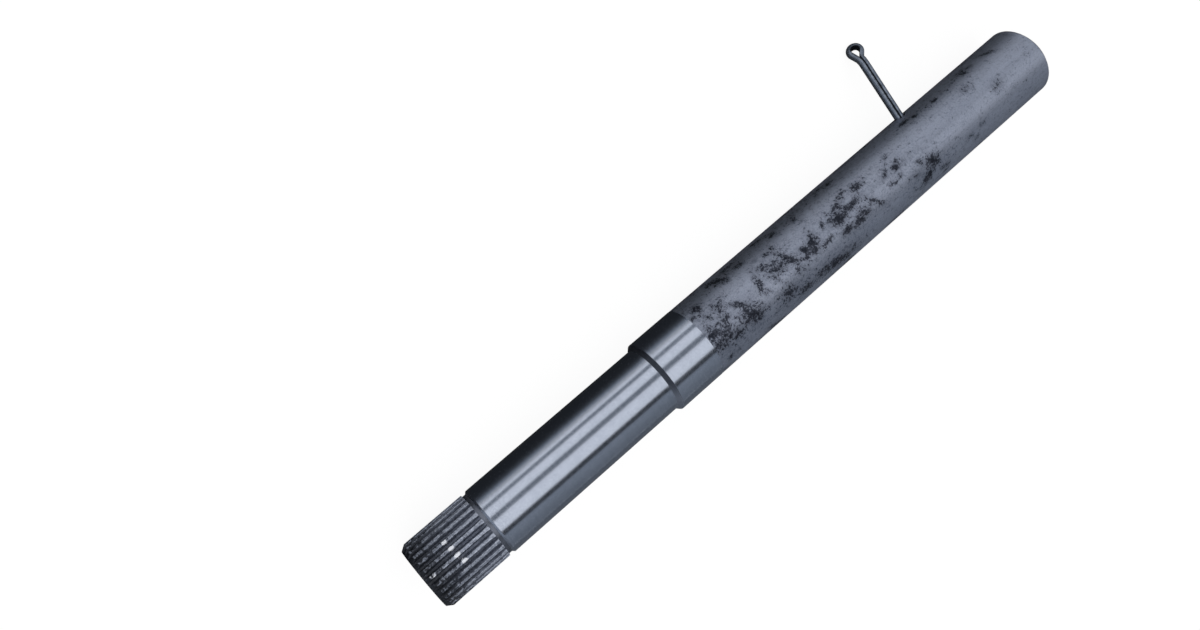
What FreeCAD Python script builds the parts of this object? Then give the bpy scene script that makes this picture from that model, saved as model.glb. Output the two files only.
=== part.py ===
"""Drive shaft with a splined end and a split pin through its bar.

The shaft is one turned bar on the X axis. The origin is on the axis where the bearing journal meets
the shoulder, and +X points to the splined end. The shaft lies on its bar, +Z up, with the eye of the
split pin down on the same floor. All sizes are in millimetres and all angles in degrees.
"""
import FreeCAD, Part
import math
import os
from FreeCAD import Vector

# Lengths along the shaft
shaft_length = 352.0
spline_length = 30.0
neck_width = 2.4
journal_length = 85.6
band_length = 22.0

# Diameters of the plain stretches
journal_d = 30.0
band_d = 33.6
bar_d = 33.5

# Chamfers of the turned outline
journal_lead_in = 0.9
spline_chamfer_length = 2.4
spline_chamfer_depth = 1.6
far_chamfer = 1.5

# Involute spline, flat root, from an inch pitch of 24 teeth to the inch of pitch diameter
spline_teeth = 27
spline_module = 25.4 / 24
pressure_angle = 30.0
root_allowance = 1.35
neck_above_root = 0.53
runout_r = 12.0
spline_turn = 0.3

# Lathe centre holes in both end faces
centre_pilot_d = 4.0
centre_pilot_length = 5.5
centre_mouth_d = 8.5
centre_angle = 60.0
drill_point_angle = 118.0

# Cross hole for the split pin
hole_from_shoulder = 163.8
hole_d = 5.0
hole_mouth_d = 6.0

# Split pin
pin_clearance = 0.3
pin_standout = 31.2
pin_length = 56.0
pin_long_leg_extra = 2.5
leg_gap = 0.2
wire_edge_r = 0.35
eye_width = 7.98
right_flare = 14.0
left_flare = 40.0
neck_bend_r = 2.8
head_bend_r = 5.0
head_tilt = 34.0
pin_twist = 15.5
leg_tip_chamfer = 0.6

# Room that a cutter goes past the faces it cuts
overcut = 1.0

X_AXIS = Vector(1, 0, 0)
Y_AXIS = Vector(0, 1, 0)
Z_AXIS = Vector(0, 0, 1)
ORIGIN = Vector(0, 0, 0)

# Places and radii that follow from the sizes
journal_r = journal_d / 2
band_r = band_d / 2
bar_r = bar_d / 2
spline_outer_r = spline_module * (spline_teeth + 1) / 2
spline_pitch_r = spline_module * spline_teeth / 2
spline_root_r = spline_module * (spline_teeth - root_allowance) / 2
neck_r = spline_root_r + neck_above_root
x_neck_start = journal_length
x_spline_start = x_neck_start + neck_width
x_spline_end = x_spline_start + spline_length
x_far_end = x_spline_end - shaft_length
x_band_start = journal_r - band_r
x_band_end = x_band_start - band_length

wire_r = hole_d / 2 - pin_clearance - leg_gap / 2
eye_inner_r = eye_width / 2 - wire_r


def neck_point(flare):
    """Where the flat side lies after the neck's bend has turned a leg outward by an angle."""
    x = leg_gap / 2 + neck_bend_r * (1 - math.cos(flare))
    return x, neck_bend_r * math.sin(flare)


def eye_centre():
    """Sideways place and rise of the eye's centre, which both flared stretches touch."""
    right = math.radians(right_flare)
    left = math.radians(left_flare)

    def reach(flare):
        x, rise = neck_point(flare)
        return eye_inner_r - x * math.cos(flare) + rise * math.sin(flare)

    spread = math.sin(right + left)
    centre_x = (reach(left) * math.sin(right) - reach(right) * math.sin(left)) / spread
    centre_rise = (reach(right) * math.cos(left) + reach(left) * math.cos(right)) / spread
    return centre_x, centre_rise


# Heights along the upright pin, counted from the shaft's axis and along the wire
pin_neck_height = bar_r + pin_standout
head_bend_start = pin_neck_height - head_bend_r * math.radians(head_tilt)


def polar(radius, angle, x=0.0):
    """Point at a radius and an angle in radians, in a plane across the shaft."""
    return Vector(x, radius * math.sin(angle), radius * math.cos(angle))


def turned_blank():
    """Revolve the whole outline of the shaft about its axis."""
    outline = [
        (x_far_end, 0),
        (x_far_end, bar_r - far_chamfer),
        (x_far_end + far_chamfer, bar_r),
        (x_band_end, bar_r),
        (x_band_end, band_r),
        (x_band_start, band_r),
        (0, journal_r),
        (x_neck_start, journal_r),
        (x_neck_start + journal_lead_in, neck_r),
        (x_spline_start, neck_r),
        (x_spline_start, spline_outer_r),
        (x_spline_end - spline_chamfer_length, spline_outer_r),
        (x_spline_end, spline_outer_r - spline_chamfer_depth),
        (x_spline_end, 0),
        (x_far_end, 0),
    ]
    wire = Part.makePolygon([Vector(x, 0, r) for x, r in outline])
    return Part.Face(wire).revolve(ORIGIN, X_AXIS, 360)


def involute(angle):
    """Involute function of an angle in radians."""
    return math.tan(angle) - angle


def space_half_angle(radius):
    """Half the angle of a tooth space at a radius, in radians."""
    at_pitch = math.radians(pressure_angle)
    base_r = spline_pitch_r * math.cos(at_pitch)
    at_radius = math.acos(base_r / radius)
    return math.pi / (2 * spline_teeth) - involute(at_pitch) + involute(at_radius)


def tooth_space_face(x):
    """Section of one tooth space across the shaft, centred on +Z, open past the tooth tips."""
    low_r = spline_root_r
    high_r = spline_outer_r + overcut
    mid_r = (low_r + high_r) / 2
    left, right = [
        [polar(r, side * space_half_angle(r), x) for r in (low_r, mid_r, high_r)]
        for side in (-1, 1)
    ]
    edges = [
        Part.Arc(left[0], polar(low_r, 0, x), right[0]).toShape(),
        Part.Arc(right[0], right[1], right[2]).toShape(),
        Part.LineSegment(right[2], left[2]).toShape(),
        Part.Arc(left[2], left[1], left[0]).toShape(),
    ]
    return Part.Face(Part.Wire(edges))


def tooth_space_cutter():
    """One straight tooth space that runs out upwards in an arc as it reaches the neck."""
    runout_length = math.sqrt(neck_above_root * (2 * runout_r - neck_above_root))
    x_runout = x_spline_start + runout_length
    section = tooth_space_face(x_runout)
    straight = section.extrude(X_AXIS * (x_spline_end + overcut - x_runout))
    past_neck = runout_length + (neck_width - journal_lead_in) / 2
    swing = math.degrees(math.asin(past_neck / runout_r))
    swing_centre = Vector(x_runout, 0, spline_root_r + runout_r)
    return straight.fuse(section.revolve(swing_centre, Y_AXIS, swing))


def tooth_space_cutters(pin_turn):
    """All the tooth spaces, half a pitch off the line of teeth that the pin's direction sets."""
    pitch = 360 / spline_teeth
    cutter = tooth_space_cutter()
    spaces = []
    for index in range(spline_teeth):
        space = cutter.copy()
        space.rotate(ORIGIN, X_AXIS, pin_turn + spline_turn + (index + 0.5) * pitch)
        spaces.append(space)
    return spaces


def centre_hole(x_face, inward):
    """Lathe centre hole from an end face, inward being +1 or -1 along X."""
    mouth_r = centre_mouth_d / 2
    pilot_r = centre_pilot_d / 2
    cone_length = (mouth_r - pilot_r) / math.tan(math.radians(centre_angle / 2))
    point_length = pilot_r / math.tan(math.radians(drill_point_angle / 2))
    outline = [
        (-overcut, 0),
        (-overcut, mouth_r),
        (0, mouth_r),
        (cone_length, pilot_r),
        (cone_length + centre_pilot_length, pilot_r),
        (cone_length + centre_pilot_length + point_length, 0),
        (-overcut, 0),
    ]
    wire = Part.makePolygon([Vector(x_face + inward * depth, 0, r) for depth, r in outline])
    return Part.Face(wire).revolve(ORIGIN, X_AXIS, 360)


def cross_hole(pin_turn):
    """Through hole along the pin's direction with a countersink at both mouths."""
    reach = bar_r + overcut
    mouth_r = hole_mouth_d / 2
    sink = mouth_r - hole_d / 2
    hole = Part.makeCylinder(hole_d / 2, 2 * reach, Vector(0, 0, -reach), Z_AXIS)
    for side in (-1, 1):
        outward = Z_AXIS * side
        cone = Part.makeCone(hole_d / 2, mouth_r, sink, outward * (bar_r - sink), outward)
        hole = hole.fuse([cone, Part.makeCylinder(mouth_r, overcut, outward * bar_r, outward)])
    hole.rotate(ORIGIN, X_AXIS, pin_turn)
    hole.translate(X_AXIS * -hole_from_shoulder)
    return hole


def drive_shaft(pin_turn):
    """The turned bar with its spline, centre holes and cross hole."""
    cutters = tooth_space_cutters(pin_turn)
    cutters.append(centre_hole(x_spline_end, -1))
    cutters.append(centre_hole(x_far_end, 1))
    cutters.append(cross_hole(pin_turn))
    return turned_blank().cut(cutters)


def half_round_profile(height):
    """Wire section of the right leg, flat side inward, its flat edges slightly rounded."""
    corner_y = math.sqrt((wire_r - wire_edge_r) ** 2 - wire_edge_r ** 2)
    grow = wire_r / (wire_r - wire_edge_r)
    lean = math.atan2(corner_y, wire_edge_r) / 2
    bulge = wire_edge_r * (1 + math.cos(math.pi / 2 + lean))

    def at(x, y):
        return Vector(leg_gap / 2 + x, y, height)

    def corner(side):
        flat_end = at(0, side * corner_y)
        middle = at(bulge, side * (corner_y + wire_edge_r * math.sin(math.pi / 2 + lean)))
        round_end = at(wire_edge_r * grow, side * corner_y * grow)
        return flat_end, middle, round_end

    low = corner(-1)
    high = corner(1)
    edges = [
        Part.LineSegment(low[0], high[0]).toShape(),
        Part.Arc(high[0], high[1], high[2]).toShape(),
        Part.Arc(high[2], at(wire_r, 0), low[2]).toShape(),
        Part.Arc(low[2], low[1], low[0]).toShape(),
    ]
    return Part.Wire(edges)


def head_point(x, rise):
    """Point of the bent-back head, rise being its distance past the bend's end."""
    tilt = math.radians(head_tilt)
    y = -head_bend_r * (1 - math.cos(tilt)) - rise * math.sin(tilt)
    z = head_bend_start + head_bend_r * math.sin(tilt) + rise * math.cos(tilt)
    return Vector(x, y, z)


def wire_half(side, flare, leg_end):
    """Edges of one half of the wire: up the leg, back with the head and out to the eye."""
    half_tilt = math.radians(head_tilt) / 2
    leg_x = side * leg_gap / 2
    back_y = -head_bend_r * (1 - math.cos(half_tilt))
    back_z = head_bend_start + head_bend_r * math.sin(half_tilt)
    foot = Vector(leg_x, 0, leg_end)
    back = [Vector(leg_x, 0, head_bend_start), Vector(leg_x, back_y, back_z), head_point(leg_x, 0)]
    neck = []
    for turn in (0, flare / 2, flare):
        x, rise = neck_point(turn)
        neck.append(head_point(side * x, rise))
    centre_x, centre_rise = eye_centre()
    touch_x = centre_x + side * eye_inner_r * math.cos(flare)
    touch = head_point(touch_x, centre_rise - eye_inner_r * math.sin(flare))
    edges = [
        Part.LineSegment(foot, back[0]).toShape(),
        Part.Arc(back[0], back[1], back[2]).toShape(),
        Part.Arc(neck[0], neck[1], neck[2]).toShape(),
        Part.LineSegment(neck[2], touch).toShape(),
    ]
    return edges, touch


def eye_path(right_end, left_end):
    """Line of the wire's flat side: up the right leg, round the eye and down the left leg."""
    right, right_touch = wire_half(1, math.radians(right_flare), right_end)
    left, left_touch = wire_half(-1, math.radians(left_flare), left_end)
    centre_x, centre_rise = eye_centre()
    top = head_point(centre_x, centre_rise + eye_inner_r)
    eye = Part.Arc(right_touch, top, left_touch).toShape()
    return Part.Wire(right + [eye] + left[::-1])


def leg_tip_cutter(leg_end, side):
    """Half ring that bevels the round side of a leg's cut end."""
    low_r = wire_r - leg_tip_chamfer - overcut
    high_r = wire_r + overcut
    low_z = leg_end - overcut
    high_z = leg_end + leg_tip_chamfer + overcut
    x_axis = side * leg_gap / 2
    corners = [(low_r, low_z), (high_r, high_z), (high_r, low_z), (low_r, low_z)]
    wire = Part.makePolygon([Vector(x_axis, -side * r, z) for r, z in corners])
    return Part.Face(wire).revolve(Vector(x_axis, 0, 0), Z_AXIS, 180)


def upright_pin():
    """Half-round wire folded into an eye and two legs, standing upright on the shaft's axis."""
    short_end = pin_neck_height - pin_length
    long_end = short_end - pin_long_leg_extra
    path = eye_path(short_end, long_end)
    pin = path.makePipeShell([half_round_profile(short_end)], True, False)
    pin = pin.cut([leg_tip_cutter(short_end, 1), leg_tip_cutter(long_end, -1)])
    pin.rotate(ORIGIN, Z_AXIS, -pin_twist)
    return pin


def resting_turn(pin):
    """Turn about X, in degrees, that lays the upright pin's eye as low as the bar."""
    points = pin.tessellate(0.01)[0]
    low, high = 60.0, 120.0
    for _ in range(40):
        middle = (low + high) / 2
        sine = math.sin(math.radians(middle))
        cosine = math.cos(math.radians(middle))
        lowest = min(p.y * sine + p.z * cosine for p in points if p.z > 0)
        if lowest < -bar_r:
            high = middle
        else:
            low = middle
    return low


def split_pin(pin, pin_turn):
    """The pin laid down with its eye on the floor, standing in the cross hole."""
    pin.rotate(ORIGIN, X_AXIS, pin_turn)
    pin.translate(X_AXIS * -hole_from_shoulder)
    return pin


def main():
    os.makedirs("parts", exist_ok=True)
    pin = upright_pin()
    pin_turn = resting_turn(pin)
    print("pin_turn", round(pin_turn, 4))
    shapes = {"drive_shaft": drive_shaft(pin_turn), "split_pin": split_pin(pin, pin_turn)}
    for name, shape in shapes.items():
        box = shape.BoundBox
        print(name, shape.isValid(), len(shape.Solids), "solid", round(shape.Volume, 1), "mm3")
        print("  z", round(box.ZMin, 3), round(box.ZMax, 3))
        shape.exportStep("parts/" + name + ".step")


main()
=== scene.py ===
import math
import random

import bpy
import numpy as np
from mathutils import Matrix, Vector


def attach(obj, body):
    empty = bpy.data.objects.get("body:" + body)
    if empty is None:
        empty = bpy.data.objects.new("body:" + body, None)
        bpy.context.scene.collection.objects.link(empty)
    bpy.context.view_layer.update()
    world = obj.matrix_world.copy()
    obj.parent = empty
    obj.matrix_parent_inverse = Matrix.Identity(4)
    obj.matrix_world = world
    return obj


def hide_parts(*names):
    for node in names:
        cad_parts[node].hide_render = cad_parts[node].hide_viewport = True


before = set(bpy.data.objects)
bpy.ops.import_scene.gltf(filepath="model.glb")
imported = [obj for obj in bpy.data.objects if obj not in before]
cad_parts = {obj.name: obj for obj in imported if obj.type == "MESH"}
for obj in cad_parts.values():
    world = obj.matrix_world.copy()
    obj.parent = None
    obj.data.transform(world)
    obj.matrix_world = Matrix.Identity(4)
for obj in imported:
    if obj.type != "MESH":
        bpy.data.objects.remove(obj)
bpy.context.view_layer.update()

MM = 0.001

# Sizes of the shaft, in metres, with the origin on its axis at the shoulder and +X to the spline
SHAFT_LENGTH = 352.0 * MM
SPLINE_LENGTH = 30.0 * MM
NECK_WIDTH = 2.4 * MM
JOURNAL_LENGTH = 85.6 * MM
BAND_LENGTH = 22.0 * MM
JOURNAL_R = 15.0 * MM
BAND_R = 16.8 * MM
BAR_R = 16.75 * MM
JOURNAL_LEAD_IN = 0.9 * MM
SPLINE_CHAMFER_LENGTH = 2.4 * MM
SPLINE_CHAMFER_DEPTH = 1.6 * MM
FAR_CHAMFER = 1.5 * MM

# Every turned edge is broken by this much, and rounded by a point this share of the way to the chord
EDGE_BREAK = 0.12 * MM
EDGE_ROUNDING = 0.55

# Involute spline
TEETH = 27
MODULE = 25.4 / 24 * MM
PRESSURE_ANGLE = math.radians(30)
ROOT_ALLOWANCE = 1.35
SPLINE_R = MODULE * (TEETH + 1) / 2
PITCH_R = MODULE * TEETH / 2
ROOT_R = MODULE * (TEETH - ROOT_ALLOWANCE) / 2
NECK_ABOVE_ROOT = 0.53 * MM
RUNOUT_R = 12.0 * MM
RUNOUT_LENGTH = math.sqrt(NECK_ABOVE_ROOT * (2 * RUNOUT_R - NECK_ABOVE_ROOT))
SPLINE_TURN = math.radians(0.3)
TIP_ROUND = 0.07 * MM

# Centre holes and cross hole
PILOT_R = 2.0 * MM
PILOT_LENGTH = 5.5 * MM
MOUTH_R = 4.25 * MM
CENTRE_HALF_ANGLE = math.radians(30)
POINT_HALF_ANGLE = math.radians(59)
HOLE_X = -163.8 * MM
HOLE_R = 2.5 * MM
HOLE_MOUTH_R = 3.0 * MM

# Split pin
WIRE_R = 2.1 * MM
WIRE_EDGE_R = 0.35 * MM
LEG_GAP = 0.2 * MM
EYE_INNER_R = 1.89 * MM
RIGHT_FLARE = math.radians(14)
LEFT_FLARE = math.radians(40)
NECK_BEND_R = 2.8 * MM
HEAD_BEND_R = 5.0 * MM
HEAD_TILT = math.radians(34)
PIN_TWIST = math.radians(15.5)
PIN_STANDOUT = 31.2 * MM
PIN_NECK_HEIGHT = BAR_R + PIN_STANDOUT
HEAD_BEND_START = PIN_NECK_HEIGHT - HEAD_BEND_R * HEAD_TILT
PIN_LENGTH = 56.0 * MM
LONG_LEG_EXTRA = 2.5 * MM

# Places that follow from the sizes
X_NECK = JOURNAL_LENGTH
X_SPLINE = X_NECK + NECK_WIDTH
X_END = X_SPLINE + SPLINE_LENGTH
X_FAR = X_END - SHAFT_LENGTH
X_BAND = JOURNAL_R - BAND_R
X_BAR = X_BAND - BAND_LENGTH
NECK_R = ROOT_R + NECK_ABOVE_ROOT
FLOOR_Z = -BAND_R

# Points round a plain ring and round the cross hole, and the distances between rings and between the
# pin's sections
PLAIN_SEGMENTS = TEETH * 8
HOLE_SEGMENTS = 64
BAR_STEP = 1.0 * MM
JOURNAL_STEP = 4.0 * MM
RUNOUT_STEP = 0.5 * MM
SPLINE_STEP = 1.0 * MM
EDGE_ROOM = 0.5 * MM
LEG_STEP = 0.8 * MM
HEAD_STEP = 0.25 * MM
NECK_POINTS = 12
EYE_POINTS = 60


# Mesh helpers

def new_object(name, vertices, faces, smooth_angle=35):
    """Smooth shaded object at the origin, whose edges stay sharp above an angle in degrees."""
    mesh = bpy.data.meshes.new(name)
    mesh.from_pydata(vertices, [], faces)
    mesh.update()
    for polygon in mesh.polygons:
        polygon.use_smooth = True
    mesh.set_sharp_from_angle(angle=math.radians(smooth_angle))
    obj = bpy.data.objects.new(name, mesh)
    bpy.context.scene.collection.objects.link(obj)
    return obj


def space_half_angle(radius):
    """Half the angle of an involute tooth space at a radius."""
    base_r = PITCH_R * math.cos(PRESSURE_ANGLE)
    at_radius = math.acos(base_r / radius)
    at_pitch = math.tan(PRESSURE_ANGLE) - PRESSURE_ANGLE
    return math.pi / (2 * TEETH) - at_pitch + math.tan(at_radius) - at_radius


# The flank of a tooth space from the root to well past the tips
FLANK_RADII = np.linspace(ROOT_R, SPLINE_R + 1.5 * MM, 24)
FLANK_ANGLES = np.array([space_half_angle(r) for r in FLANK_RADII])


def tooth_samples():
    """Angles of the ring's points within one pitch, from the middle of a tooth, as shares of it."""
    pitch = 2 * math.pi / TEETH
    tip = (pitch / 2 - space_half_angle(SPLINE_R)) / pitch
    root = (pitch / 2 - space_half_angle(ROOT_R)) / pitch
    half = np.concatenate([
        [0, tip * 0.5, tip * 0.85],
        np.linspace(tip, root, 7),
        [root + (0.5 - root) * 0.25, root + (0.5 - root) * 0.6],
    ])
    return np.concatenate([half, [0.5], 1 - half[:0:-1]])


def tooth_ring_angles():
    """Angles of all points of a toothed ring."""
    shares = tooth_samples()
    pitch = 2 * math.pi / TEETH
    return np.concatenate([TOOTH_ANGLE + (i + shares) * pitch for i in range(TEETH)])


def runout_rise(x):
    """How far the floor of a tooth space has come up near the neck."""
    past = max(0.0, X_SPLINE + RUNOUT_LENGTH - x)
    return RUNOUT_R - math.sqrt(RUNOUT_R ** 2 - past ** 2)


def tooth_radii(x, outer):
    """Radius of each point of a toothed ring, with the tips' edges slightly rounded."""
    shares = tooth_samples()
    from_space = np.abs(shares - 0.5) * 2 * math.pi / TEETH
    flank = np.interp(from_space, FLANK_ANGLES, FLANK_RADII) + runout_rise(x)
    blend = np.clip(0.5 + 0.5 * (outer - flank) / TIP_ROUND, 0, 1)
    radii = outer * (1 - blend) + flank * blend - TIP_ROUND * blend * (1 - blend)
    return np.tile(np.minimum(radii, outer), TEETH)


def stepped(start, end, step):
    """Evenly spaced values from start to end, both included, about a step apart."""
    count = max(1, round(abs(end - start) / step))
    return [start + (end - start) * i / count for i in range(count + 1)]


def broken_edge(before, corner, after):
    """A corner of the outline cut back on both sides and rounded by one middle point."""
    corner = Vector(corner)
    first = corner + (Vector(before) - corner).normalized() * EDGE_BREAK
    last = corner + (Vector(after) - corner).normalized() * EDGE_BREAK
    middle = (first + last) / 2 * EDGE_ROUNDING + corner * (1 - EDGE_ROUNDING)
    return [tuple(first), tuple(middle), tuple(last)]


def centre_hole_outline(x_face, inward):
    """Outline of a centre hole from its drill point out to the mouth."""
    cone = (MOUTH_R - PILOT_R) / math.tan(CENTRE_HALF_ANGLE)
    point = PILOT_R / math.tan(POINT_HALF_ANGLE)
    pilot_foot = cone + PILOT_LENGTH
    depths = [(pilot_foot + point, 0), (pilot_foot, PILOT_R), (cone, PILOT_R), (0, MOUTH_R)]
    return [(x_face + inward * depth, r) for depth, r in depths]


class Lathe:
    """Collects rings round the axis and joins each to the one before."""

    def __init__(self):
        self.vertices = []
        self.faces = []
        self.zones = []
        self.last = None

    def ring(self, x, radii, angles, zone):
        """Adds a ring, or one point on the axis, and names the material up to it from the last."""
        if np.isscalar(radii):
            radii = np.full(len(angles), radii)
        start = len(self.vertices)
        if not np.any(radii):
            self.vertices.append((x, 0.0, 0.0))
            ids = [start]
        else:
            ys = radii * np.cos(angles)
            zs = radii * np.sin(angles)
            self.vertices.extend(zip([x] * len(angles), ys.tolist(), zs.tolist()))
            ids = list(range(start, start + len(angles)))
        if self.last is not None:
            self.join(self.last, ids, zone)
        self.last = ids

    def join(self, low, high, zone):
        """Fills the strip between two rings with faces that look outward."""
        before = len(self.faces)
        n, m = len(low), len(high)
        if n == 1:
            self.faces += [(low[0], high[(j + 1) % m], high[j]) for j in range(m)]
        elif m == 1:
            self.faces += [(low[j], low[(j + 1) % n], high[0]) for j in range(n)]
        elif n == m:
            for j in range(n):
                k = (j + 1) % n
                self.faces.append((low[j], low[k], high[k], high[j]))
        elif m > n:
            self.fan(low, high, False)
        else:
            self.fan(high, low, True)
        self.zones += [zone] * (len(self.faces) - before)

    def fan(self, few, many, flip):
        """Joins a ring to one with three times its points."""
        for j in range(len(few)):
            a, b = few[j], few[(j + 1) % len(few)]
            p, q, r = (many[3 * j + i] for i in range(3))
            s = many[(3 * j + 3) % len(many)]
            for face in ((a, b, r), (a, r, q), (a, q, p), (b, s, r)):
                self.faces.append(face[::-1] if flip else face)


# Materials of the shaft's stretches
ZONES = ["bar_scale", "ground_steel", "turned_steel", "chamfer_steel", "spline_steel", "hole_steel"]

# The band's foot: the bar's skin is cut a little under before the band rises to its own radius
FOOT_DEPTH = 0.05 * MM
FOOT_LENGTH = 0.06 * MM

# The neck goes over into toothed rings before the teeth, whose end faces rise within a short length
TOOTHED_BEFORE = 0.3 * MM
TOOTH_START = 0.01 * MM

# Shares of the end chamfer's length at which the teeth have a ring, and the rim inside them
CHAMFER_SHARES = (0.04, 0.15, 0.3, 0.45, 0.6, 0.75, 0.9, 1.0)
END_RIM = 0.4 * MM


def plain_run(lathe, points, zone):
    """Adds plain rings through points of the outline."""
    angles = np.arange(PLAIN_SEGMENTS) * 2 * math.pi / PLAIN_SEGMENTS + TOOTH_ANGLE
    for x, r in points:
        lathe.ring(x, r, angles, zone)


def even_run(lathe, start, end, step, radius, zone):
    """Adds plain rings of one radius, about a step apart."""
    plain_run(lathe, [(x, radius) for x in stepped(start, end, step)], zone)


def bar_rings(lathe):
    """The far centre hole, the far chamfer and the bar's own skin up to the band."""
    chamfer_foot = (X_FAR, BAR_R - FAR_CHAMFER)
    chamfer_top = (X_FAR + FAR_CHAMFER, BAR_R)
    plain_run(lathe, centre_hole_outline(X_FAR, 1), "hole_steel")
    plain_run(lathe, broken_edge((X_FAR, 0), chamfer_foot, chamfer_top), "turned_steel")
    plain_run(lathe, broken_edge(chamfer_foot, chamfer_top, (X_BAR, BAR_R)), "turned_steel")
    even_run(lathe, chamfer_top[0] + EDGE_ROOM, X_BAR - EDGE_BREAK, BAR_STEP, BAR_R, "bar_scale")
    plain_run(lathe, [(X_BAR, BAR_R - FOOT_DEPTH), (X_BAR + FOOT_LENGTH, BAND_R)], "bar_scale")


def band_and_journal_rings(lathe):
    """The ground band, the shoulder's chamfer and the ground journal up to the neck's slope."""
    shoulder = (0, JOURNAL_R)
    band_end = (X_BAND, BAND_R)
    journal_end = (X_NECK, JOURNAL_R)
    slope_end = (X_NECK + JOURNAL_LEAD_IN, NECK_R)
    band_last = X_BAND - 2 * EDGE_ROOM
    even_run(lathe, X_BAR + JOURNAL_STEP, band_last, JOURNAL_STEP, BAND_R, "ground_steel")
    plain_run(lathe, broken_edge((X_BAR, BAND_R), band_end, shoulder), "ground_steel")
    plain_run(lathe, broken_edge(band_end, shoulder, journal_end), "chamfer_steel")
    even_run(lathe, JOURNAL_STEP, X_NECK - JOURNAL_STEP, JOURNAL_STEP, JOURNAL_R, "ground_steel")
    plain_run(lathe, broken_edge(shoulder, journal_end, slope_end), "ground_steel")
    slope_foot = broken_edge(journal_end, slope_end, (X_SPLINE, NECK_R))
    plain_run(lathe, slope_foot[:1], "ground_steel")
    plain_run(lathe, slope_foot[1:], "turned_steel")


def neck_rings(lathe, toothed):
    """The turned neck, where the plain rings go over into toothed ones."""
    plain_run(lathe, [(X_SPLINE - EDGE_ROOM, NECK_R)], "turned_steel")
    lathe.ring(X_SPLINE - TOOTHED_BEFORE, NECK_R, toothed, "turned_steel")
    lathe.ring(X_SPLINE, NECK_R, toothed, "turned_steel")


def spline_rings(lathe, toothed):
    """The teeth from their run-out beside the neck to the end chamfer, and the end face's hole."""
    start_r = np.minimum(tooth_radii(X_SPLINE, SPLINE_R), SPLINE_R - EDGE_BREAK)
    lathe.ring(X_SPLINE + TOOTH_START, np.maximum(start_r, NECK_R), toothed, "spline_steel")
    chamfer_x = X_END - SPLINE_CHAMFER_LENGTH
    xs = stepped(X_SPLINE + EDGE_BREAK, X_SPLINE + RUNOUT_LENGTH, RUNOUT_STEP)
    xs += stepped(X_SPLINE + RUNOUT_LENGTH, chamfer_x - EDGE_BREAK, SPLINE_STEP)[1:]
    for x in xs:
        lathe.ring(x, tooth_radii(x, SPLINE_R), toothed, "spline_steel")
    for share in CHAMFER_SHARES:
        x = chamfer_x + share * SPLINE_CHAMFER_LENGTH
        outer = SPLINE_R - share * SPLINE_CHAMFER_DEPTH
        radii = np.minimum(tooth_radii(x, SPLINE_R), outer)
        lathe.ring(x, radii, toothed, "spline_steel")
    face_r = SPLINE_R - SPLINE_CHAMFER_DEPTH
    plain_run(lathe, [(X_END, face_r - END_RIM)], "spline_steel")
    end_hole = centre_hole_outline(X_END, -1)[::-1]
    plain_run(lathe, end_hole[:1], "turned_steel")
    plain_run(lathe, end_hole[1:], "hole_steel")


def shaft_mesh():
    """The whole turned shaft as rings from the far centre hole to the splined end's centre hole."""
    toothed = tooth_ring_angles()
    lathe = Lathe()
    bar_rings(lathe)
    band_and_journal_rings(lathe)
    neck_rings(lathe, toothed)
    spline_rings(lathe, toothed)
    return lathe


def build_shaft():
    """The shaft as one closed skin, with its materials and its cross hole."""
    lathe = shaft_mesh()
    obj = new_object("shaft_turned", lathe.vertices, lathe.faces)
    for zone in ZONES:
        obj.data.materials.append(bpy.data.materials[zone])
    obj.data.polygons.foreach_set("material_index", [ZONES.index(z) for z in lathe.zones])
    cut_cross_hole(obj)
    return obj


def cut_cross_hole(obj):
    """Cuts the cross hole with its two countersunk mouths along the pin's direction."""
    reach = BAR_R + 2 * MM
    sink = HOLE_MOUTH_R - HOLE_R
    outline = [
        (-reach, HOLE_MOUTH_R),
        (-BAR_R, HOLE_MOUTH_R),
        (-BAR_R + sink, HOLE_R),
        (BAR_R - sink, HOLE_R),
        (BAR_R, HOLE_MOUTH_R),
        (reach, HOLE_MOUTH_R),
    ]
    vertices = []
    for height, r in outline:
        for j in range(HOLE_SEGMENTS):
            turn = 2 * math.pi * j / HOLE_SEGMENTS
            vertices.append((r * math.cos(turn), r * math.sin(turn), height))
    faces = []
    for k in range(len(outline) - 1):
        for j in range(HOLE_SEGMENTS):
            a = k * HOLE_SEGMENTS + j
            b = k * HOLE_SEGMENTS + (j + 1) % HOLE_SEGMENTS
            faces.append((a, b, b + HOLE_SEGMENTS, a + HOLE_SEGMENTS))
    faces.append(tuple(range(HOLE_SEGMENTS))[::-1])
    last = (len(outline) - 1) * HOLE_SEGMENTS
    faces.append(tuple(range(last, last + HOLE_SEGMENTS)))
    cutter = new_object("hole_cutter", vertices, faces)
    cutter.data.materials.append(bpy.data.materials["hole_steel"])
    cutter.data.transform(Matrix.Rotation(PIN_ANGLE - math.pi / 2, 4, "X"))
    cutter.data.transform(Matrix.Translation((HOLE_X, 0, 0)))
    modifier = obj.modifiers.new("hole", "BOOLEAN")
    modifier.operation = "DIFFERENCE"
    modifier.object = cutter
    modifier.solver = "EXACT"
    modifier.material_mode = "TRANSFER"
    apply_modifiers(obj)
    bpy.data.objects.remove(cutter)


def apply_modifiers(obj):
    """Puts the result of the modifiers into the object's own mesh."""
    graph = bpy.context.evaluated_depsgraph_get()
    mesh = bpy.data.meshes.new_from_object(obj.evaluated_get(graph))
    obj.modifiers.clear()
    old = obj.data
    obj.data = mesh
    bpy.data.meshes.remove(old)


# Split pin

def neck_point(flare):
    """Where the flat side lies after the neck's bend has turned a leg outward by an angle."""
    return LEG_GAP / 2 + NECK_BEND_R * (1 - math.cos(flare)), NECK_BEND_R * math.sin(flare)


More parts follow.
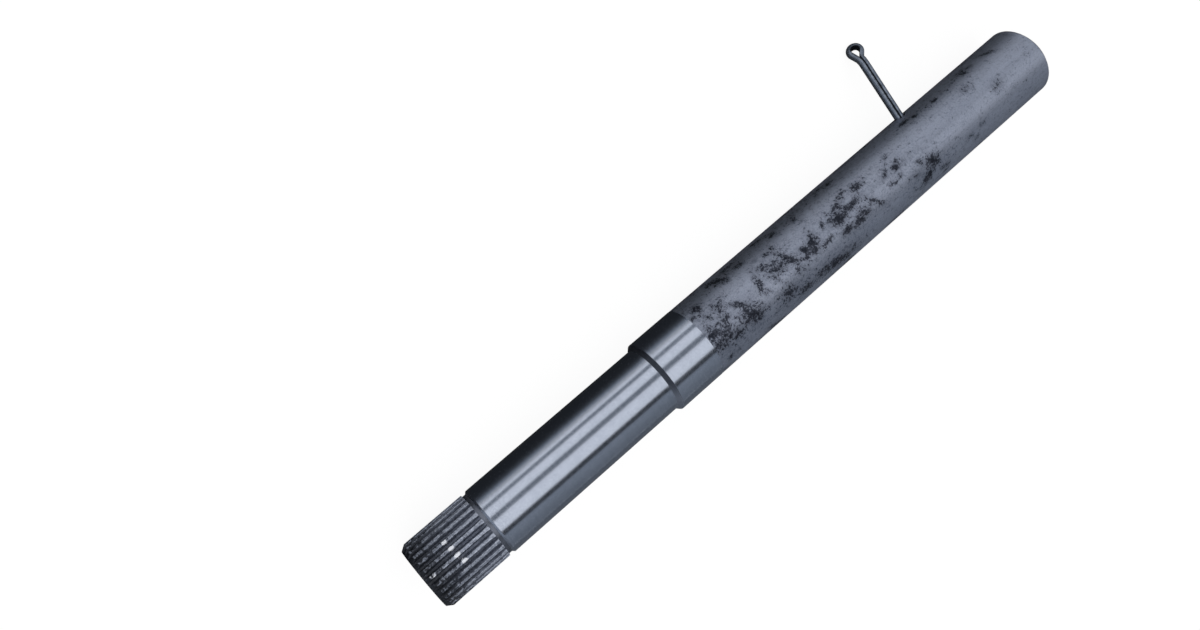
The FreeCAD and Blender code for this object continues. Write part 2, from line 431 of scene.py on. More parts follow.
def eye_centre():
    """Sideways place and rise of the eye's centre, which both flared stretches touch."""
    def reach(flare):
        x, rise = neck_point(flare)
        return EYE_INNER_R - x * math.cos(flare) + rise * math.sin(flare)

    right, left = reach(RIGHT_FLARE), reach(LEFT_FLARE)
    spread = math.sin(RIGHT_FLARE + LEFT_FLARE)
    x = (left * math.sin(RIGHT_FLARE) - right * math.sin(LEFT_FLARE)) / spread
    rise = (right * math.cos(LEFT_FLARE) + left * math.cos(RIGHT_FLARE)) / spread
    return x, rise


def arc(centre, radius, start, end, count):
    """Points of an arc in the plane of the straight pin, from a start angle to an end angle."""
    turns = np.linspace(start, end, count)
    return [(centre[0] + radius * math.cos(t), centre[1] + radius * math.sin(t)) for t in turns]


def pin_path():
    """The wire's flat side before the head is bent back: up one leg, round the eye, down the other."""
    short_end = PIN_NECK_HEIGHT - PIN_LENGTH
    long_end = short_end - LONG_LEG_EXTRA
    bend_centre = (LEG_GAP / 2 + NECK_BEND_R, PIN_NECK_HEIGHT)

    def half(leg_end, flare):
        heights = stepped(leg_end, HEAD_BEND_START, LEG_STEP)[:-1]
        heights += stepped(HEAD_BEND_START, PIN_NECK_HEIGHT, HEAD_STEP)[:-1]
        points = [(LEG_GAP / 2, z) for z in heights]
        return points + arc(bend_centre, NECK_BEND_R, math.pi, math.pi - flare, NECK_POINTS)

    right = half(short_end, RIGHT_FLARE)
    left = [(-x, z) for x, z in half(long_end, LEFT_FLARE)]
    centre_x, centre_rise = eye_centre()
    centre = (centre_x, PIN_NECK_HEIGHT + centre_rise)
    eye = arc(centre, EYE_INNER_R, -RIGHT_FLARE, math.pi + LEFT_FLARE, EYE_POINTS)
    return right + eye + left[::-1]


def half_round_section(segments=28):
    """Half-round wire section: outward distance from the flat, and distance across it."""
    centre = math.sqrt((WIRE_R - WIRE_EDGE_R) ** 2 - WIRE_EDGE_R ** 2)
    lean = math.atan2(centre, WIRE_EDGE_R)
    points = [(0.0, y) for y in np.linspace(-centre, centre, 7)]
    edge_turns = np.linspace(math.pi, lean, 6)[1:]
    edge = [(WIRE_EDGE_R * (1 + math.cos(t)), centre + WIRE_EDGE_R * math.sin(t)) for t in edge_turns]
    points += edge
    round_turns = np.linspace(lean, -lean, segments)[1:-1]
    points += [(WIRE_R * math.cos(t), WIRE_R * math.sin(t)) for t in round_turns]
    points += [(out, -across) for out, across in edge[::-1]]
    return points


def bent_back(point):
    """Carries a point of the straight pin along as the head is bent back."""
    past = point.z - HEAD_BEND_START
    if past <= 0:
        return point
    turn = min(past / HEAD_BEND_R, HEAD_TILT)
    rest = past - HEAD_BEND_R * turn
    sine, cosine = math.sin(turn), math.cos(turn)
    y = point.y * cosine - HEAD_BEND_R * (1 - cosine) - rest * sine
    z = HEAD_BEND_START + point.y * sine + HEAD_BEND_R * sine + rest * cosine
    return Vector((point.x, y, z))


def upright_pin():
    """Vertices, faces and wire places of the pin as it stands upright on the shaft's axis."""
    path = [Vector((x, 0, z)) for x, z in pin_path()]
    section = half_round_section()
    count = len(section)
    twist = Matrix.Rotation(-PIN_TWIST, 3, "Z")
    vertices = []
    wire_places = []
    length = 0.0
    for i, point in enumerate(path):
        before, after = path[max(i - 1, 0)], path[min(i + 1, len(path) - 1)]
        along = (after - before).normalized()
        outward = Vector((along.z, 0, -along.x))
        length += (point - path[max(i - 1, 0)]).length
        for out, across in section:
            straight = point + outward * out + Vector((0, across, 0))
            vertices.append(twist @ bent_back(straight))
            wire_places.append((out, across, length))
    faces = []
    for i in range(len(path) - 1):
        for j in range(count):
            a, b = i * count + j, i * count + (j + 1) % count
            faces.append((a, b, b + count, a + count))
    faces.append(tuple(range(count))[::-1])
    last = (len(path) - 1) * count
    faces.append(tuple(range(last, last + count)))
    return vertices, faces, wire_places


def resting_dip(vertices):
    """Angle below level at which the pin's eye comes down as low as the bar."""
    halvings = 40
    head = np.array([v for v in vertices if v.z > 0])
    low, high = -0.5, 0.5
    for _ in range(halvings):
        dip = (low + high) / 2
        lowest = (head[:, 1] * math.cos(dip) - head[:, 2] * math.sin(dip)).min()
        if lowest < -BAR_R:
            high = dip
        else:
            low = dip
    return low


def build_pin(vertices, faces, wire_places):
    """The pin laid down in the cross hole, with each point's place on the wire kept for its material."""
    turn = Matrix.Rotation(PIN_ANGLE - math.pi / 2, 4, "X")
    place = Matrix.Translation((HOLE_X, 0, 0)) @ turn
    obj = new_object("split_pin_wire", [tuple(place @ v) for v in vertices], faces, 40)
    wire = obj.data.attributes.new("wire", "FLOAT_VECTOR", "POINT")
    wire.data.foreach_set("vector", np.array(wire_places).ravel())
    obj.data.materials.append(bpy.data.materials["drawn_wire"])
    return obj


# Patches on the shaft. Each has its place in millimetres behind the shoulder and in degrees round the
# axis from the side that faces the camera, its length and width in millimetres, and its lean in degrees.

# Oil stains with ragged edges
STAINS = [
    (25, 27, 2, 2.5, 0), (27, 0, 5.5, 2, 90), (29, -55, 2.5, 2, 0), (29, -19, 10, 8, 0),
    (30, 15, 3.5, 2, 55), (33, -55, 2, 1.5, 0), (35, -1, 3.5, 2, 0), (36, -30, 7, 4.5, 0),
    (36, 17, 4.5, 4, 0), (45, -21, 8, 7, 0), (47, 40, 3, 2, 0), (48, -15, 3, 2, 0),
    (53, 61, 7, 2, 0), (57, -13, 3, 1.5, 45), (57, 47, 4, 2, 0), (62, 34, 2, 1.5, 0),
    (63, -7, 4, 2, 80), (65, -33, 8, 6, 0), (66, 4, 9, 4, 15), (68, 29, 2.5, 2, 0),
    (71, 32, 2, 1.5, 0), (71, 63, 5, 2, 0), (73, -53, 6, 3, 0), (74, -20, 5, 3, 0),
    (77, 50, 3, 3, 0), (79, -13, 3.5, 2.5, 0), (85, -12, 7, 3, 15), (89, -50, 13, 4, 0),
    (90, 34, 2.5, 1.5, 0), (91, -16, 6, 2, 0), (95, -57, 12, 3, 0), (98, 4, 3.5, 2, 0),
    (105, 15, 5.5, 2, -10), (108, 62, 5, 1.5, 0), (109, 23, 3, 1.5, 0), (112, 26, 2.5, 1.5, 0),
    (113, -18, 5.5, 3.5, 0), (113, 56, 4, 1.5, 0), (120, -15, 8, 2, 50), (131, 3, 4, 1.5, -40),
    (132, -14, 3.5, 2.5, 0), (137, -13, 2.5, 2, 0), (138, 24, 2.5, 2, 0), (140, 8, 2, 1.5, -40),
    (144, -30, 2.5, 1.5, 0), (149, -16, 3, 2, 0), (161, -62, 3, 1.5, 0), (161, -53, 4, 2.5, 0),
    (165, 46, 2.5, 2, 0), (177, 43, 3, 1.5, 0), (178, -40, 4, 2, 0), (182, -52, 3, 2, 0),
    (186, -38, 4, 2, 0), (191, 22, 6, 3.5, 0), (198, 51, 7, 4, 0), (203, -6, 6, 4, 0),
    (203, 49, 3, 2, 0),
]

# Darker and more solid stains, and streaks
DARK_STAINS = [
    (26, -9, 3.5, 3.5, 0), (29, 37, 4, 2.5, 0), (43, 1, 6.5, 2, 40), (44, 54, 6, 3, 35),
    (47, -27, 5.5, 5, 0), (56, 7, 8, 2, -75), (61, 17, 4.5, 2, 15), (73, 1, 11, 2, 65),
    (81, -3, 4.5, 2, 45), (86, 1, 6.5, 3, -60), (88, 44, 3, 2, -40), (91, -54, 8, 2, 0),
    (94, 8, 3, 1.5, -55), (102, -21, 5, 2.5, 0), (102, 0, 6, 4, 0), (109, -24, 4.5, 2, 0),
    (110, 2, 9, 2, -8), (119, 18, 4.5, 2.5, 0), (138, 1, 3, 2, 30), (150, -45, 7, 2.5, -40),
    (155, -27, 5, 4, 45), (159, 50, 4.5, 1.5, 0), (215, 45, 5, 2, 30),
]

# Broad dirty areas where fine specks gather
SMEARS = [
    (31, 24, 10, 8, 0), (32, -12, 20, 17, 0), (46, -22, 16, 12, 0), (52, 52, 26, 6, 0),
    (68, 12, 16, 12, 0), (70, -46, 40, 8, 0), (83, -6, 18, 9, 0), (92, 56, 50, 6, 0),
    (96, -52, 26, 7, 0), (105, -2, 24, 11, 0), (108, 16, 24, 7, 0), (112, -20, 22, 8, 0),
    (135, 4, 18, 7, 0), (152, -36, 22, 12, 0), (170, 46, 40, 6, 0),
]

# The stretch of the shoulder's chamfer that gets a painted reflection: a lighter colour standing in for the
# bright floor that it mirrors
PAINTED_REFLECTION = [(1, -72, 60, 18, 0)]

# Bright scuffs on the spline: place along X in millimetres, degrees as above, and strength
SCUFFS = [
    (103.8, 21, 1), (103.4, 7.7, 1), (103.1, -5.6, 1), (102.2, -19, 1),
    (115.3, -2.6, 0.42), (114.0, -6.8, 0.45),
]
SCUFF_LENGTH = 1.0 * MM
SCUFF_WIDTH = 1.3 * MM
SCUFF_IN_SPACE = 0.65

# Random patches of the sides away from the camera: a seed, how many, lengths and widths in millimetres
HIDDEN_STAINS = (11, 150, (2, 8), (1.8, 4))
HIDDEN_SMEARS = (12, 25, (10, 30), (6, 14))
HIDDEN_TURNS = (75, 285)
HIDDEN_LEANS = (-30, 60)

# They begin this far behind the shoulder and go on for this far, in millimetres, closer at the start
HIDDEN_START = 25
HIDDEN_SPAN = 205
HIDDEN_CROWDING = 1.5

# How dark the two kinds of stains are at their middle, from 0 to 1
STAIN_STRENGTH = 0.62
DARK_STAIN_STRENGTH = 0.9

# The spline's ridges are worn bright near the neck and less towards the end
CREST_DEPTH = 0.45 * MM
CREST_FADE = 0.35 * MM
WORN_AT_NECK = 1.1
WORN_LOSS = 0.78


def scattered(seed, count, lengths, widths):
    """Patches at random places on the sides away from the camera, closer together near the band."""
    scatter = random.Random(seed)
    patches = []
    for _ in range(count):
        back = HIDDEN_START + HIDDEN_SPAN * scatter.random() ** HIDDEN_CROWDING
        turn = scatter.uniform(*HIDDEN_TURNS)
        size = scatter.uniform(*lengths), scatter.uniform(*widths)
        patches.append((back, turn, *size, scatter.uniform(*HIDDEN_LEANS)))
    return patches


def patch_field(patches, xs, turns):
    """Soft strength of the patches, from 0 to 1, at places along and round the bar."""
    field = np.zeros(len(xs))
    for back, turn, length, width, lean in patches:
        along = xs + back * MM
        aside = turns - (CAMERA_ANGLE + math.radians(turn))
        aside = BAR_R * ((aside + math.pi) % (2 * math.pi) - math.pi)
        cosine, sine = math.cos(math.radians(lean)), math.sin(math.radians(lean))
        u = (along * cosine + aside * sine) / (length / 2 * MM)
        v = (aside * cosine - along * sine) / (width / 2 * MM)
        field = np.maximum(field, np.exp(-0.5 * (u * u + v * v)))
    return field


def scuff_field(xs, turns):
    """Strength of the bright scuffs, each a small round spot."""
    field = np.zeros(len(xs))
    for x, turn, strength in SCUFFS:
        aside = SPLINE_R * (turns - CAMERA_ANGLE - math.radians(turn))
        spot = np.exp(-((xs - x * MM) / SCUFF_LENGTH) ** 2 - (aside / SCUFF_WIDTH) ** 2)
        field = np.maximum(field, spot * strength)
    return field


def add_point_values(obj, name, values):
    """Stores one number for each point of a mesh, for a material to read."""
    layer = obj.data.attributes.new(name, "FLOAT", "POINT")
    layer.data.foreach_set("value", values)


def paint_shaft(obj):
    """Stores where the shaft is stained, smeared, worn, oily and scuffed, and where the chamfer gets a
    painted reflection.
    """
    places = np.empty(len(obj.data.vertices) * 3)
    obj.data.vertices.foreach_get("co", places)
    xs, ys, zs = places.reshape(-1, 3).T
    turns = np.arctan2(zs, ys)
    radii = np.hypot(ys, zs)
    stains = STAINS + scattered(*HIDDEN_STAINS)
    smears = SMEARS + scattered(*HIDDEN_SMEARS)
    stain = STAIN_STRENGTH * patch_field(stains, xs, turns)
    stain = np.maximum(stain, DARK_STAIN_STRENGTH * patch_field(DARK_STAINS, xs, turns))
    crest = np.clip((radii - SPLINE_R + CREST_DEPTH) / CREST_FADE, 0, 1)
    toward_end = np.clip((xs - X_SPLINE) / SPLINE_LENGTH, 0, 1)
    on_ridge = SCUFF_IN_SPACE + (1 - SCUFF_IN_SPACE) * crest
    add_point_values(obj, "stain", stain)
    add_point_values(obj, "smear", patch_field(smears, xs, turns))
    # painted reflection: the chamfer's lighter stretch, where it would mirror the bright floor
    add_point_values(obj, "rubbed", patch_field(PAINTED_REFLECTION, xs, turns))
    add_point_values(obj, "worn", crest * (WORN_AT_NECK - WORN_LOSS * toward_end))
    add_point_values(obj, "oily", toward_end)
    add_point_values(obj, "scuff", scuff_field(xs, turns) * on_ridge)


# Materials

class Nodes:
    """Short way to write a node material."""

    def __init__(self, name):
        self.material = bpy.data.materials.new(name)
        assert self.material.name == name, name + " is taken"
        self.material.use_nodes = True
        self.tree = self.material.node_tree
        self.tree.nodes.clear()

    def fill(self, socket, value):
        """Links another node's output to a socket, or sets the socket to a plain value."""
        if isinstance(value, bpy.types.NodeSocket):
            self.tree.links.new(value, socket)
        else:
            socket.default_value = value

    def add(self, kind, values=None, **settings):
        """A new node with its settings, and its sockets filled by name or number."""
        node = self.tree.nodes.new("ShaderNode" + kind)
        for key, value in settings.items():
            setattr(node, key, value)
        for key, value in (values or {}).items():
            self.fill(node.inputs[key], value)
        return node

    def output(self, shader):
        """Makes a shader the material's surface."""
        self.add("OutputMaterial", {"Surface": shader.outputs[0]})

    def metal(self, values):
        """Ends the material in one metal surface."""
        self.output(self.add("BsdfPrincipled", values))

    def place(self, scale=(1, 1, 1)):
        """The object's own coordinates, scaled separately along X, Y and Z."""
        own = self.add("TexCoord").outputs["Object"]
        return self.add("Mapping", {"Vector": own, "Scale": scale}).outputs[0]

    def noise(self, vector, scale=1.0, detail=3.0, roughness=0.5, distortion=0.0):
        """Noise between about 0.25 and 0.75."""
        values = {
            "Vector": vector,
            "Scale": scale,
            "Detail": detail,
            "Roughness": roughness,
            "Distortion": distortion,
        }
        return self.add("TexNoise", values).outputs["Fac"]

    def spread(self, value, low, high, to_low=0.0, to_high=1.0, smooth=False):
        """Carries a value from one range to another and stops at both ends."""
        values = {"Value": value, "From Min": low, "From Max": high, "To Min": to_low, "To Max": to_high}
        kind = "SMOOTHSTEP" if smooth else "LINEAR"
        return self.add("MapRange", values, interpolation_type=kind).outputs[0]

    def math(self, operation, first, second):
        return self.add("Math", {0: first, 1: second}, operation=operation).outputs[0]

    def ramp(self, value, colors):
        """Colour that runs evenly through a list of colours as the value goes from 0 to 1."""
        node = self.add("ValToRGB", {"Fac": value})
        points = node.color_ramp.elements
        while len(points) < len(colors):
            points.new(0.5)
        for i, color in enumerate(colors):
            points[i].position = i / (len(colors) - 1)
            points[i].color = (*color, 1)
        return node.outputs["Color"]

    def blend(self, share, first, second):
        """A share of the second colour over the first. A plain second colour has three numbers."""
        if isinstance(second, tuple):
            second = (*second, 1)
        return self.add("Mix", {0: share, 6: first, 7: second}, data_type="RGBA").outputs[2]

    def value_of(self, attribute):
        """A number stored at the points of the mesh."""
        return self.add("Attribute", attribute_name=attribute).outputs["Fac"]

    def bump(self, height, strength, distance, normal=None):
        """Fine relief from a height between 0 and 1, a distance deep in metres."""
        values = {"Height": height, "Strength": strength, "Distance": distance}
        if normal:
            values["Normal"] = normal
        return self.add("Bump", values).outputs["Normal"]


def make_bar_scale():
    """Dark bluish scale of the drawn bar, with near-black oil stains that have ragged edges."""
    nodes = Nodes("bar_scale")
    own = nodes.place()
    cloud = nodes.spread(nodes.noise(own, 45, 4, 0.6), 0.3, 0.7)
    grain = nodes.noise(own, 1500, 3, 0.6)
    streak = nodes.noise(nodes.place((30, 900, 900)), 1, 4, 0.6)
    tone = nodes.ramp(cloud, [(0.29, 0.325, 0.41), (0.335, 0.37, 0.465), (0.37, 0.405, 0.50)])
    tone = nodes.blend(nodes.spread(streak, 0.35, 0.7, 0.0, 0.35), tone, (0.19, 0.217, 0.285))
    tone = nodes.blend(nodes.spread(grain, 0.35, 0.65, 0.0, 0.5), tone, (0.50, 0.54, 0.655))
    coarse = nodes.spread(nodes.noise(own, 420, 4, 0.6, 1.0), 0.28, 0.72, -0.5, 0.5)
    fine = nodes.spread(nodes.noise(own, 1150, 3, 0.6, 0.8), 0.28, 0.72, -0.5, 0.5)
    ragged = nodes.math("ADD", coarse, fine)
    smear = nodes.math("MULTIPLY", nodes.value_of("smear"), 0.34)
    dirt = nodes.math("ADD", nodes.value_of("stain"), smear)
    reach = nodes.math("ADD", dirt, ragged)
    film = (0.11, 0.122, 0.16)
    oil = nodes.ramp(nodes.noise(own, 260, 4, 0.6), [(0.025, 0.029, 0.041), (0.085, 0.093, 0.122)])
    core = (0.014, 0.017, 0.026)
    tone = nodes.blend(nodes.spread(dirt, 0.05, 0.7, 0.0, 0.38), tone, (0.11, 0.125, 0.165))
    tone = nodes.blend(nodes.spread(reach, 0.0, 0.8, 0.0, 0.55, smooth=True), tone, film)
    tone = nodes.blend(nodes.spread(reach, 0.58, 0.85, smooth=True), tone, oil)
    tone = nodes.blend(nodes.spread(reach, 0.92, 1.3, 0.0, 0.8, smooth=True), tone, core)
    nodes.metal({
        "Base Color": tone,
        "Metallic": 0.9,
        "Roughness": nodes.spread(grain, 0.3, 0.7, 0.4, 0.52),
        "Specular IOR Level": 0.3,
        "Normal": nodes.bump(grain, 0.35, 0.03 * MM),
    })


def make_ground_steel():
    """Bright steel with fine grinding lines round the shaft and a faint mottled grain."""
    nodes = Nodes("ground_steel")
    own = nodes.place()
    lines = nodes.noise(nodes.place((2600, 30, 30)), 1, 5, 0.7)
    grain = nodes.noise(own, 1500, 4, 0.65)
    cloud = nodes.spread(nodes.noise(own, 110, 4, 0.6), 0.3, 0.7)
    tone = nodes.ramp(cloud, [(0.46, 0.51, 0.61), (0.53, 0.58, 0.69)])
    tone = nodes.blend(nodes.spread(grain, 0.3, 0.7, 0.0, 0.6), tone, (0.35, 0.39, 0.48))
    tone = nodes.blend(nodes.spread(lines, 0.3, 0.7, 0.0, 0.35), tone, (0.60, 0.65, 0.76))
    nodes.metal({
        "Base Color": tone,
        "Metallic": 1.0,
        "Roughness": nodes.spread(lines, 0.3, 0.7, 0.17, 0.25),
        "Anisotropic": 0.5,
        "Anisotropic Rotation": 0.25,
        "Tangent": nodes.add("Tangent", direction_type="RADIAL", axis="X").outputs[0],
        "Normal": nodes.bump(grain, 0.06, 0.02 * MM, nodes.bump(lines, 0.12, 0.01 * MM)),
    })


def tool_marks(nodes):
    """Noise that changes along any turned surface, so that the marks run round the shaft."""
    own = nodes.add("TexCoord").outputs["Object"]
    parts = nodes.add("SeparateXYZ", {"Vector": own})
    across = nodes.add("CombineXYZ", {"Y": parts.outputs["Y"], "Z": parts.outputs["Z"]}).outputs[0]
    radius = nodes.add("VectorMath", {0: across}, operation="LENGTH").outputs["Value"]
    length = nodes.math("SUBTRACT", parts.outputs["X"], nodes.math("MULTIPLY", radius, 1.4))
    values = {"W": length, "Scale": 5000, "Detail": 3.0}
    return nodes.add("TexNoise", values, noise_dimensions="1D").outputs["Fac"]


def make_turned_steel(name, dark, light, mark, rubbed=None):
    """Turned steel with tool marks round the shaft, from a dark, a light and a mark colour.

    A reflection colour is painted over it where the shaft stores a painted reflection, standing in for the
    bright floor that the chamfer mirrors.
    """
    nodes = Nodes(name)
    marks = tool_marks(nodes)
    cloud = nodes.spread(nodes.noise(nodes.place(), 260, 4, 0.6), 0.3, 0.7)
    tone = nodes.ramp(cloud, [dark, light])
    tone = nodes.blend(nodes.spread(marks, 0.35, 0.7, 0.0, 0.5), tone, mark)
    if rubbed:
        # painted reflection: a lighter colour where the shaft stores one
        tone = nodes.blend(nodes.spread(nodes.value_of("rubbed"), 0.15, 0.9, smooth=True), tone, rubbed)
    nodes.metal({
        "Base Color": tone,
        "Metallic": 0.9,
        "Roughness": nodes.spread(cloud, 0, 1, 0.32, 0.46),
        "Normal": nodes.bump(marks, 0.3, 0.03 * MM),
    })


def make_spline_steel():
    """Oily dark tooth spaces and lighter worn ridges with a few bright scuffs."""
    nodes = Nodes("spline_steel")
    own = nodes.place()
    patch = nodes.noise(own, 480, 5, 0.65)
    mottle = nodes.noise(own, 1000, 4, 0.65)
    cut = nodes.noise(nodes.place((90, 2400, 2400)), 1, 4, 0.6)
    oil = nodes.ramp(nodes.spread(mottle, 0.3, 0.7), [(0.038, 0.046, 0.068), (0.145, 0.165, 0.22)])
    oil = nodes.blend(nodes.spread(nodes.value_of("oily"), 0.3, 0.9, 0.0, 0.85), oil, (0.008, 0.009, 0.012))
    steel = nodes.ramp(nodes.spread(cut, 0.3, 0.7), [(0.32, 0.355, 0.44), (0.74, 0.80, 0.94)])
    steel = nodes.blend(nodes.spread(mottle, 0.4, 0.62, 0.0, 0.85), steel, (0.145, 0.165, 0.215))
    worn = nodes.math("ADD", nodes.value_of("worn"), nodes.spread(patch, 0.27, 0.73, -0.6, 0.45))
    worn = nodes.math("ADD", worn, nodes.spread(mottle, 0.3, 0.7, -0.45, 0.45))
    tone = nodes.blend(nodes.spread(worn, 0.2, 0.8, 0.0, 0.95, smooth=True), oil, steel)
    ragged = nodes.math("ADD", nodes.value_of("scuff"), nodes.spread(patch, 0.3, 0.7, -0.25, 0.25))
    tone = nodes.blend(nodes.spread(ragged, 0.22, 0.5, smooth=True), tone, (0.85, 0.88, 0.95))
    nodes.metal({
        "Base Color": tone,
        "Metallic": 0.55,
        "Roughness": nodes.spread(patch, 0.3, 0.7, 0.34, 0.5),
        "Normal": nodes.bump(cut, 0.2, 0.03 * MM),
    })


def make_hole_steel():
    """Drilled steel of the holes, dark with old oil."""
    nodes = Nodes("hole_steel")
    own = nodes.place()
    marks = nodes.noise(own, 1100, 4, 0.6)
    cloud = nodes.spread(nodes.noise(own, 300, 4, 0.6), 0.3, 0.7)
    nodes.metal({
        "Base Color": nodes.ramp(cloud, [(0.03, 0.03, 0.034), (0.1, 0.1, 0.112)]),
        "Metallic": 0.8,
        "Roughness": nodes.spread(cloud, 0, 1, 0.4, 0.55),
        "Normal": nodes.bump(marks, 0.25, 0.04 * MM),
    })


def make_drawn_wire():
    """Dull bluish-grey drawn wire with draw marks along it, darker at its flat side's edges with grime and
    painted shade where the two legs lie together.
    """
    nodes = Nodes("drawn_wire")
    wire = nodes.add("Attribute", attribute_name="wire").outputs["Vector"]
    drawn = nodes.add("Mapping", {"Vector": wire, "Scale": (3000, 3000, 120)}).outputs[0]
    marks = nodes.noise(drawn, 1, 4, 0.6)
    cloud = nodes.spread(nodes.noise(nodes.place(), 500, 4, 0.6), 0.3, 0.7)
    tone = nodes.ramp(cloud, [(0.12, 0.145, 0.185), (0.25, 0.29, 0.36)])
    tone = nodes.blend(nodes.spread(marks, 0.35, 0.7, 0.0, 0.4), tone, (0.52, 0.58, 0.70))
    from_flat = nodes.add("SeparateXYZ", {"Vector": wire}).outputs["X"]
    # grime and painted shade along the flat side, where the legs lie against each other
    grime_and_shade = nodes.math("ADD", from_flat, nodes.spread(cloud, 0, 1, -0.2 * MM, 0.2 * MM))
    tone = nodes.blend(nodes.spread(grime_and_shade, 0.2 * MM, 0.7 * MM, 0.9, 0.0), tone, (0.02, 0.025, 0.035))
    nodes.metal({
        "Base Color": tone,
        "Metallic": 0.85,
        "Roughness": nodes.spread(marks, 0.3, 0.7, 0.24, 0.36),
        "Normal": nodes.bump(marks, 0.2, 0.03 * MM),
    })


def make_materials():
    """All materials of the shaft and the pin. The shoulder's chamfer is turned steel too, but darker:
    partly its dull turned finish, partly a painted dark reflection, with a painted lighter reflection on
    one stretch.
    """
    make_bar_scale()
    make_ground_steel()
    make_turned_steel("turned_steel", (0.10, 0.112, 0.142), (0.20, 0.218, 0.27), (0.30, 0.325, 0.39))
    # The chamfer's darker colours are partly a dull turned finish and partly a painted dark reflection of
    # the room
    make_turned_steel(
        "chamfer_steel",
        (0.03, 0.035, 0.048),
        (0.085, 0.096, 0.125),
        (0.15, 0.165, 0.205),
        # painted reflection colour for the chamfer's lighter stretch
        rubbed=(0.33, 0.365, 0.45),
    )
    make_spline_steel()
    make_hole_steel()
    make_drawn_wire()


# Studio: a plain white world, and grey cards that only the metal's reflections meet; the dark one over the
# floor beside the shaft is a painted shadow

CARD_RADIUS = 1.6
CARD_REACH = 3.0
CARD_COLOR = (0.92, 1.0, 1.1, 1)
WHITE = (1, 1, 1, 1)
CARD_LIFT = 0.3 * MM
END_GLOW = 0.35


def finish_card(card, color, glow=None):
    """Gives a card one glow, or else that of its points, and leaves it to the glossy rays alone."""
    nodes = Nodes(card.name)
    strength = nodes.value_of("glow") if glow is None else glow
    nodes.output(nodes.add("Emission", {"Color": color, "Strength": strength}))
    card.data.materials.append(nodes.material)
    card.visible_camera = False
    card.visible_diffuse = False
    card.visible_transmission = False
    card.visible_shadow = False


def reflection_card(name, points, glows, color=CARD_COLOR):
    """A strip along the shaft through points across it, with a glow at each point."""
    vertices = []
    for y, z in points:
        vertices += [(-CARD_REACH, y, z), (CARD_REACH, y, z)]
    faces = [(2 * i, 2 * i + 1, 2 * i + 3, 2 * i + 2) for i in range(len(points) - 1)]
    card = new_object(name, vertices, faces)
    add_point_values(card, "glow", [glow for glow in glows for _ in range(2)])
    finish_card(card, color)


def card_over(name, first, last, glows, color=CARD_COLOR):
    """A card over a span of directions, in degrees from the camera's, towards the pin."""
    turns = np.linspace(math.radians(first), math.radians(last), len(glows)) + CAMERA_ANGLE
    points = [(CARD_RADIUS * math.cos(t), CARD_RADIUS * math.sin(t)) for t in turns]
    reflection_card(name, points, glows, color)


def end_card(name, x):
    """An upright card across the shaft's line, past one of its ends."""
    half = CARD_RADIUS * 1.2
    vertices = [(x, -half, FLOOR_Z), (x, half, FLOOR_Z), (x, half, half), (x, -half, half)]
    finish_card(new_object(name, vertices, [(0, 1, 2, 3)]), CARD_COLOR, END_GLOW)


def floor_card(name, places, glows):
    """A card just over the floor, through places across the shaft from near it outward."""
    reflection_card(name, [(y, FLOOR_Z + CARD_LIFT) for y in places], glows)


def build_cards():
    """Walls and flags round the shaft, cards over the floor on both sides of it, and end cards. The dark
    card over the floor on the near side is a painted shadow of the shaft, seen only in reflections.
    """
    card_over("far_wall", -117.5, -61, [0.2, 0.21, 0.24, 0.28, 0.31])
    card_over("far_flag", -61, -45.5, [0.04, 0.04])
    card_over("top_flag", -8, 7, [0.22, 0.18])
    card_over("near_flag", 32.5, 44, [0.24, 0.2])
    card_over("near_wall", 50, 63.2, [0.88, 0.38], WHITE)
    floor_card("far_floor", (0.004, 0.4, CARD_RADIUS), [0.13, 0.16, 0.18])
    # painted shadow: a dark card next to the shaft, darkest at the shaft, standing in for its shadow on the
    # floor in reflections
    near_places = (-0.004, -0.05, -0.09, -0.136, -0.32, -CARD_RADIUS)
    floor_card("near_floor", near_places, [0.02, 0.025, 0.06, 0.14, 0.3, 0.45])
    end_card("spline_end_card", CARD_REACH * 0.8)
    end_card("far_end_card", -CARD_REACH * 0.8)


# The floor glows a little less and takes a shadow near the shaft, and is plain white further away
FLOOR_SIZE = 12.0
FLOOR_MIDDLE_X = X_FAR / 4
FLOOR_GLOW = 0.92
FLOOR_ALBEDO = 0.1
FADE_START = 0.35
FADE_END = 0.6


def build_floor():
    """White floor whose glow shows to the camera and in reflections, with the object's soft shadow."""
    half = FLOOR_SIZE / 2
    corners = [(-half, -half), (half, -half), (half, half), (-half, half)]
    floor = new_object("floor", [(x, y, FLOOR_Z) for x, y in corners], [(0, 1, 2, 3)])
    nodes = Nodes("floor_white")
    own = nodes.add("TexCoord").outputs["Object"]
    middle = (FLOOR_MIDDLE_X, 0, 0)
    from_part = nodes.add("VectorMath", {0: own, 1: middle}, operation="DISTANCE").outputs["Value"]
    far = nodes.spread(from_part, FADE_START, FADE_END, smooth=True)
    albedo = nodes.ramp(far, [(FLOOR_ALBEDO,) * 3, (0.0, 0.0, 0.0)])
    path = nodes.add("LightPath")
    direct = nodes.math("MAXIMUM", path.outputs["Is Camera Ray"], path.outputs["Is Glossy Ray"])
    direct = nodes.math("MAXIMUM", direct, path.outputs["Is Transmission Ray"])
    glow = nodes.math("MULTIPLY", direct, nodes.spread(far, 0, 1, FLOOR_GLOW, 1.0))
    diffuse = nodes.add("BsdfDiffuse", {"Color": albedo})
    emission = nodes.add("Emission", {"Strength": glow})
    nodes.output(nodes.add("AddShader", {0: diffuse.outputs[0], 1: emission.outputs[0]}))
    floor.data.materials.append(nodes.material)


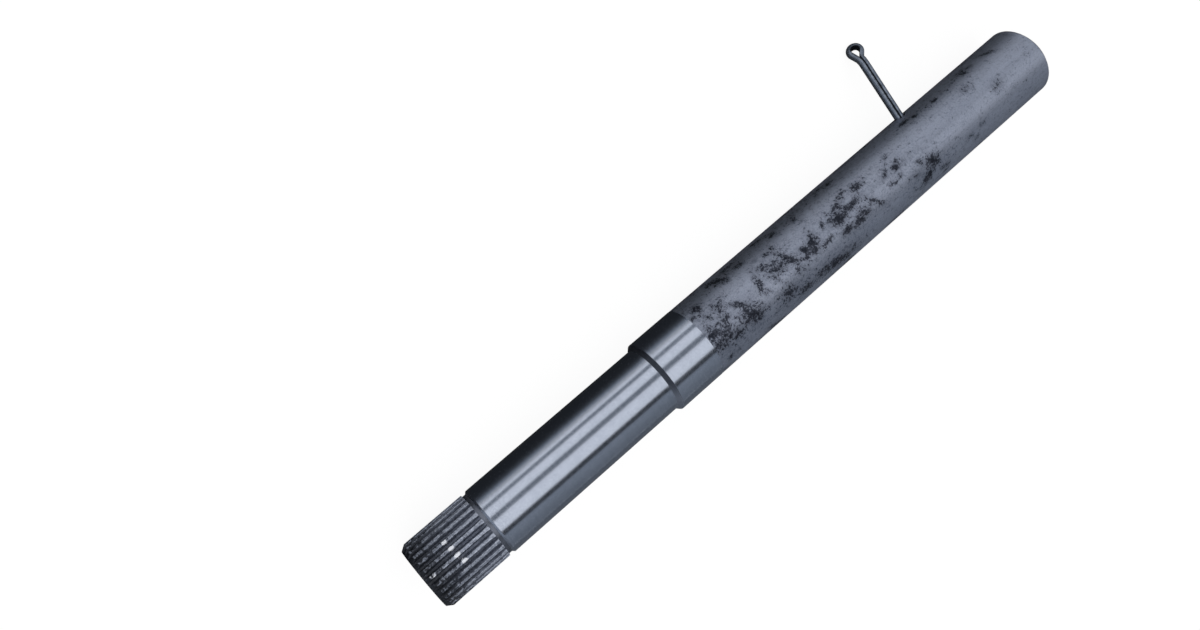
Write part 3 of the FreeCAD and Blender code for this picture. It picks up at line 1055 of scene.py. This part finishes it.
def build_world():
    """Plain white light from all sides."""
    world = bpy.data.worlds.new("studio")
    world.use_nodes = True
    tree = world.node_tree
    tree.nodes.clear()
    background = tree.nodes.new("ShaderNodeBackground")
    background.inputs["Color"].default_value = (1, 1, 1, 1)
    background.inputs["Strength"].default_value = 1.0
    output = tree.nodes.new("ShaderNodeOutputWorld")
    tree.links.new(background.outputs[0], output.inputs["Surface"])
    bpy.context.scene.world = world


# Camera: opposite a point of the axis, aimed beside the shoulder on the pin's side

CAMERA_FROM_PIN = math.radians(74.05)
CAMERA_FOOT_X = 102.70 * MM
CAMERA_DISTANCE = 395.34 * MM
CAMERA_AIM_X = -1.30 * MM
CAMERA_AIM_ASIDE = 34.10 * MM
CAMERA_ROLL = math.radians(41.03)
CAMERA_LENS = 30.0
SENSOR_WIDTH = 36.0


def build_camera():
    """A camera beside the shaft, rolled so that the shaft runs slantwise through the picture."""
    out = Vector((0, math.cos(CAMERA_ANGLE), math.sin(CAMERA_ANGLE)))
    aside = out.cross(Vector((-1, 0, 0)))
    place = Vector((CAMERA_FOOT_X, 0, 0)) + out * CAMERA_DISTANCE
    aim = Vector((CAMERA_AIM_X, 0, 0)) + aside * CAMERA_AIM_ASIDE
    back = (place - aim).normalized()
    up = (aside - back * aside.dot(back)).normalized()
    right = up.cross(back)
    rolled_up = up * math.cos(CAMERA_ROLL) + right * math.sin(CAMERA_ROLL)
    rolled_right = rolled_up.cross(back)
    data = bpy.data.cameras.new("camera")
    data.sensor_width = SENSOR_WIDTH
    data.lens = CAMERA_LENS
    data.clip_start = 0.01
    data.clip_end = 50
    camera = bpy.data.objects.new("camera", data)
    turn = Matrix((rolled_right, rolled_up, back)).transposed()
    camera.matrix_world = Matrix.Translation(place) @ turn.to_4x4()
    bpy.context.scene.collection.objects.link(camera)
    bpy.context.scene.camera = camera


# Angles round the shaft are counted from +Y towards +Z
pin_parts = upright_pin()
PIN_ANGLE = math.pi + resting_dip(pin_parts[0])
TOOTH_ANGLE = PIN_ANGLE + SPLINE_TURN
CAMERA_ANGLE = PIN_ANGLE - CAMERA_FROM_PIN

make_materials()
shaft = build_shaft()
paint_shaft(shaft)
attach(shaft, "root")
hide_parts("drive_shaft")
pin = build_pin(*pin_parts)
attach(pin, "root")
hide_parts("split_pin")
build_cards()
build_floor()
build_world()
build_camera()
bpy.context.scene.view_settings.view_transform = "Standard"
